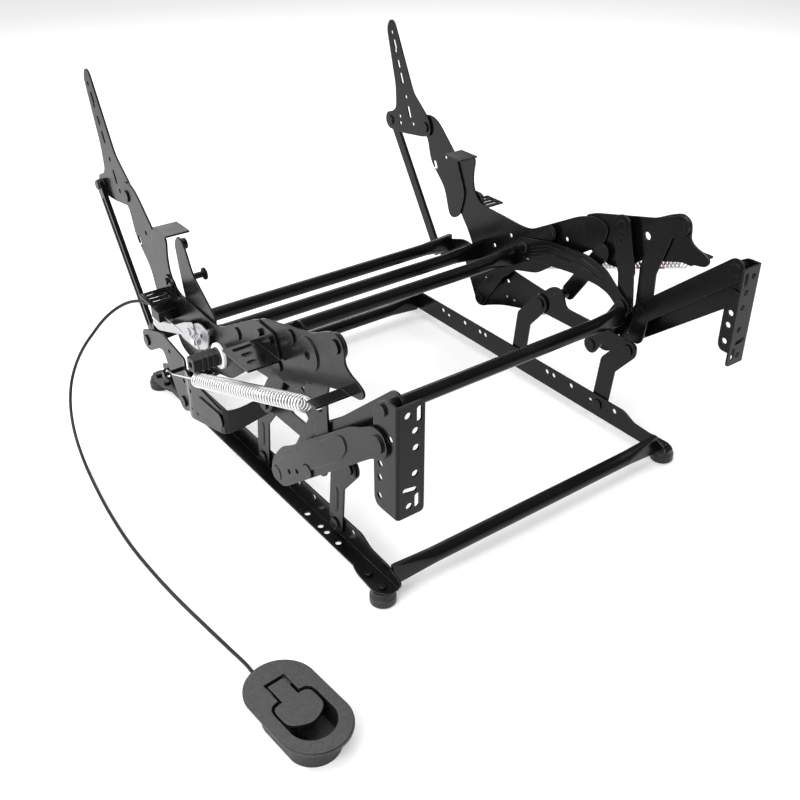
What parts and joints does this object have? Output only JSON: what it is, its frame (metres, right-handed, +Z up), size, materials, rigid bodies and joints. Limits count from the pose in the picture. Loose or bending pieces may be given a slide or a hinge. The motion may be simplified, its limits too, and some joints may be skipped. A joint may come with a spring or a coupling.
{
  "type": "recliner mechanism",
  "caption": "Recliner chair mechanism: base rails, glide links, seat side plates, back brackets, scissor footrest linkage, springs and a cable release handle.",
  "frame": {"origin": "midway between the base rails, on the underside of their flat flanges", "axes": "+Z up, footrest towards -Y, release handle on the -X side"},
  "size_m": [0.8457, 0.9286, 0.5258],
  "materials": {
    "black_powder_coat": "satin black powder coat on pressed steel",
    "zinc_steel": "bright zinc plate",
    "white_nylon": "moulded nylon",
    "black_plastic": "fine moulded grain",
    "cable_jacket": "smooth extruded jacket"
  },
  "bodies": {
    "base": {"feet": "black_plastic", "right_rail": "black_powder_coat", "left_rail": "black_powder_coat", "base_front_tube": "black_powder_coat", "base_rear_tube": "black_powder_coat", "base_rivets": "black_powder_coat", "cable_sheath": "cable_jacket", "handle_bezel": "black_plastic"},
    "rear_links": {"right_rear_link": "black_powder_coat", "left_rear_link": "black_powder_coat"},
    "front_links": {"right_front_link": "black_powder_coat", "left_front_link": "black_powder_coat"},
    "carriers": {"right_carrier": "black_powder_coat", "left_carrier": "black_powder_coat", "rear_tube": "black_powder_coat", "carrier_rivets": "black_powder_coat", "right_spring": "zinc_steel", "left_spring": "zinc_steel"},
    "rear_seat_links": {"right_rear_seat_link": "black_powder_coat", "left_rear_seat_link": "black_powder_coat"},
    "front_seat_links": {"right_front_seat_link": "black_powder_coat", "left_front_seat_link": "black_powder_coat"},
    "seat_frame": {"right_seat_plate": "black_powder_coat", "left_seat_plate": "black_powder_coat", "right_front_plate": "black_powder_coat", "left_front_plate": "black_powder_coat", "front_tabs": "black_powder_coat", "rear_tabs": "black_powder_coat", "seat_tubes": "black_powder_coat", "seat_rivets": "black_powder_coat", "right_back_arm": "black_powder_coat", "left_back_arm": "black_powder_coat", "upright_arm": "black_powder_coat", "shaft_bush": "white_nylon", "latch_plate": "zinc_steel", "cable_clamp": "black_powder_coat", "cable_ferrule": "white_nylon", "cable_wire": "zinc_steel"},
    "back_brackets": {"right_back_bracket": "black_powder_coat", "left_back_bracket": "black_powder_coat"},
    "struts": {"right_strut": "black_powder_coat", "left_strut": "black_powder_coat"},
    "rear_hangers": {"right_rear_hanger": "black_powder_coat", "left_rear_hanger": "black_powder_coat", "front_tube": "black_powder_coat"},
    "front_hangers": {"right_front_hanger": "black_powder_coat", "left_front_hanger": "black_powder_coat"},
    "guide_arms": {"right_guide_arm": "black_powder_coat", "left_guide_arm": "black_powder_coat"},
    "footrest_arms": {"right_footrest_arm": "black_powder_coat", "left_footrest_arm": "black_powder_coat"},
    "footrest_brackets": {"right_footrest_bracket": "black_powder_coat", "left_footrest_bracket": "black_powder_coat"},
    "drive_cranks": {"right_drive_crank": "black_powder_coat", "left_drive_crank": "black_powder_coat"},
    "drive_links": {"right_drive_link": "black_powder_coat", "left_drive_link": "black_powder_coat"},
    "drive_shaft": {"drive_shaft": "black_plastic"},
    "latch_lever": {"latch_lever": "zinc_steel"},
    "paddle": {"handle_paddle": "black_plastic"}
  },
  "joints": [
    {"name": "recline", "type": "hinge", "parent": "base", "child": "rear_links", "pos_m": [0, -0.01, 0.021], "axis": [1, 0, 0], "range_deg": [0, 22]},
    {"name": "front_link_swing", "type": "hinge", "parent": "base", "child": "front_links", "pos_m": [0, -0.203, 0.021], "axis": [1, 0, 0], "range_deg": [0, 22.05]},
    {"name": "carrier_level", "type": "hinge", "parent": "rear_links", "child": "carriers", "pos_m": [0, -0.05275, 0.13846], "axis": [1, 0, 0], "range_deg": [-22.05, 0]},
    {"name": "rear_seat_link_swing", "type": "hinge", "parent": "carriers", "child": "rear_seat_links", "pos_m": [0, 0.14575, 0.05646], "axis": [-1, 0, 0], "range_deg": [0, 34.05], "deforming": ["right_spring", "left_spring"]},
    {"name": "front_seat_link_swing", "type": "hinge", "parent": "carriers", "child": "front_seat_links", "pos_m": [0, -0.08475, 0.16396], "axis": [-1, 0, 0], "range_deg": [0, 34.05]},
    {"name": "seat_level", "type": "hinge", "parent": "rear_seat_links", "child": "seat_frame", "pos_m": [0, 0.08424, 0.14766], "axis": [-1, 0, 0], "range_deg": [-34.05, 0], "deforming": ["cable_sheath"]},
    {"name": "back_recline", "type": "hinge", "parent": "seat_frame", "child": "back_brackets", "pos_m": [0, 0.29724, 0.33866], "axis": [-1, 0, 0], "range_deg": [0, 30.86]},
    {"name": "strut_swing", "type": "hinge", "parent": "carriers", "child": "struts", "pos_m": [0, 0.26225, 0.11246], "axis": [-1, 0, 0], "range_deg": [0, 11.79]},
    {"name": "footrest_open", "type": "hinge", "parent": "seat_frame", "child": "front_hangers", "pos_m": [0, -0.28076, 0.34166], "axis": [-1, 0, 0], "range_deg": [0, 85]},
    {"name": "rear_hanger_swing", "type": "hinge", "parent": "seat_frame", "child": "rear_hangers", "pos_m": [0, -0.18276, 0.31166], "axis": [-1, 0, 0], "range_deg": [0, 77.55]},
    {"name": "footrest_arm_swing", "type": "hinge", "parent": "front_hangers", "child": "footrest_arms", "pos_m": [0, -0.22876, 0.14566], "axis": [-1, 0, 0], "range_deg": [-90.54, 0]},
    {"name": "footrest_bracket_tilt", "type": "hinge", "parent": "footrest_arms", "child": "footrest_brackets", "pos_m": [0, -0.37876, 0.26966], "axis": [-1, 0, 0], "range_deg": [0, 83.88]},
    {"name": "guide_arm_swing", "type": "hinge", "parent": "front_hangers", "child": "guide_arms", "pos_m": [0, -0.23576, 0.18766], "axis": [-1, 0, 0], "range_deg": [-90.47, 0]},
    {"name": "drive_crank_turn", "type": "hinge", "parent": "seat_frame", "child": "drive_cranks", "pos_m": [0, -0.03476, 0.24966], "axis": [-1, 0, 0], "range_deg": [0, 116.9]},
    {"name": "drive_link_swing", "type": "hinge", "parent": "rear_hangers", "child": "drive_links", "pos_m": [0, -0.20676, 0.19166], "axis": [-1, 0, 0], "range_deg": [-50.46, 0]},
    {"name": "drive_shaft_turn", "type": "hinge", "parent": "seat_frame", "child": "drive_shaft", "pos_m": [0, 0.02324, 0.19066], "axis": [-1, 0, 0], "range_deg": [0, 85.05]},
    {"name": "paddle_pull", "type": "hinge", "parent": "base", "child": "paddle", "pos_m": [-0.46165, -0.40009, 0.012], "axis": [-0.9976, -0.0698, 0], "range_deg": [0, 35], "stiffness_Nm_per_rad": 0.03},
    {"name": "latch_lever_turn", "type": "hinge", "parent": "seat_frame", "child": "latch_lever", "pos_m": [0, 0.09924, 0.19766], "axis": [1, 0, 0], "range_deg": [0, 4.05]}
  ],
  "couplings": [
    {"joint": "front_link_swing", "follows": "recline", "ratio": 1},
    {"joint": "carrier_level", "follows": "recline", "ratio": -1},
    {"joint": "rear_seat_link_swing", "follows": "recline", "ratio": 1.5455},
    {"joint": "front_seat_link_swing", "follows": "recline", "ratio": 1.5455},
    {"joint": "seat_level", "follows": "recline", "ratio": -1.5455},
    {"joint": "back_recline", "follows": "recline", "ratio": 1.4005},
    {"joint": "strut_swing", "follows": "recline", "ratio": 0.53379},
    {"joint": "rear_hanger_swing", "follows": "footrest_open", "ratio": 0.91181},
    {"joint": "footrest_arm_swing", "follows": "footrest_open", "ratio": -1.0646},
    {"joint": "footrest_bracket_tilt", "follows": "footrest_open", "ratio": 0.98623},
    {"joint": "guide_arm_swing", "follows": "footrest_open", "ratio": -1.0638},
    {"joint": "drive_crank_turn", "follows": "footrest_open", "ratio": 1.3747},
    {"joint": "drive_link_swing", "follows": "footrest_open", "ratio": -0.59309},
    {"joint": "drive_shaft_turn", "follows": "footrest_open", "ratio": 1},
    {"joint": "latch_lever_turn", "follows": "paddle_pull", "ratio": 0.11429}
  ]
}
